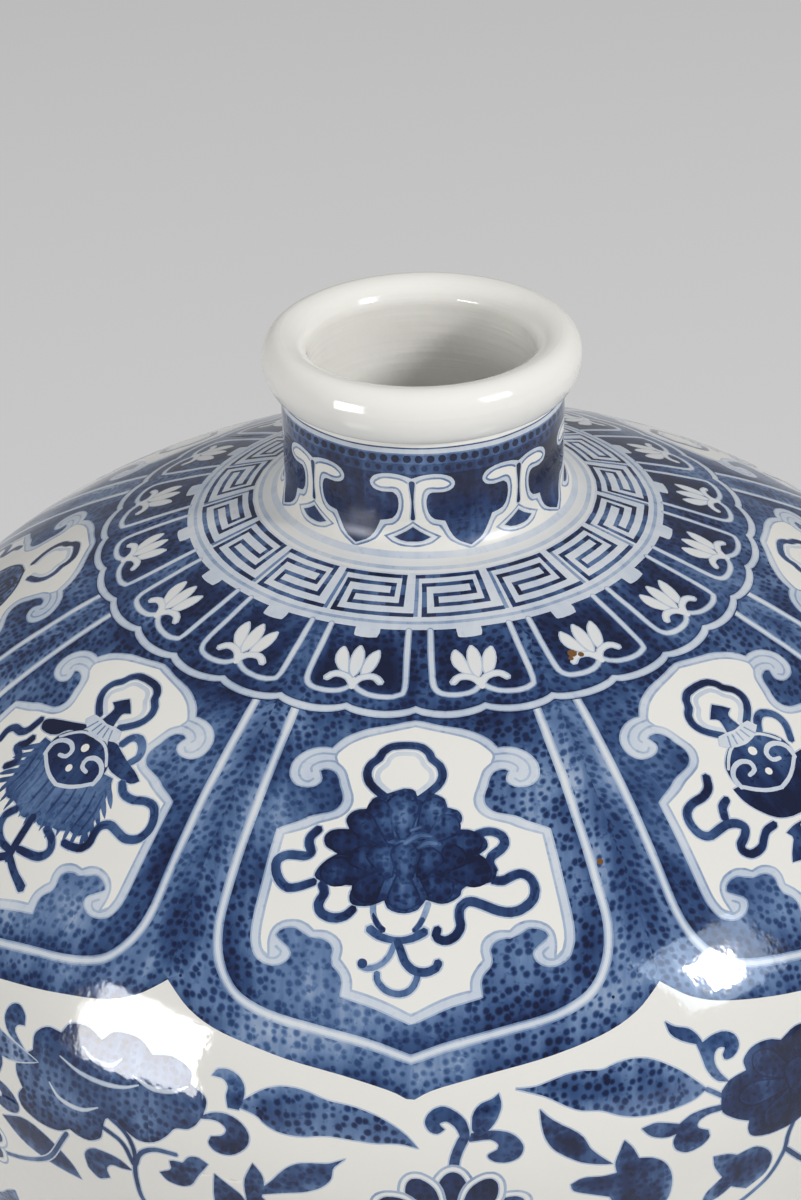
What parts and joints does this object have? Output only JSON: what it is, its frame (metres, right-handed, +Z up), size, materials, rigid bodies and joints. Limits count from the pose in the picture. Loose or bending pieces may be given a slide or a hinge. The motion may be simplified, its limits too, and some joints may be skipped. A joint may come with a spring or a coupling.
{
  "type": "meiping vase",
  "caption": "Blue-and-white porcelain meiping vase with a broad rounded shoulder tapering to the foot, a short neck and a rolled lip, for display or a branch of blossom.",
  "frame": {"origin": "middle of the foot ring, on the surface that the vase stands on", "axes": "+Z up along the axis of the vase; -Y is the side that faces the camera in the picture"},
  "size_m": [0.237, 0.237, 0.36],
  "materials": {
    "glazed_porcelain": "gloss",
    "luting_slip": "matt"
  },
  "bodies": {
    "root": {"neck": "glazed_porcelain", "shoulder": "glazed_porcelain", "belly": "glazed_porcelain", "lower_body": "glazed_porcelain", "foot": "glazed_porcelain", "neck_slip": "luting_slip", "belly_slip": "luting_slip", "body_slip": "luting_slip", "foot_slip": "luting_slip"}
  },
  "joints": []
}
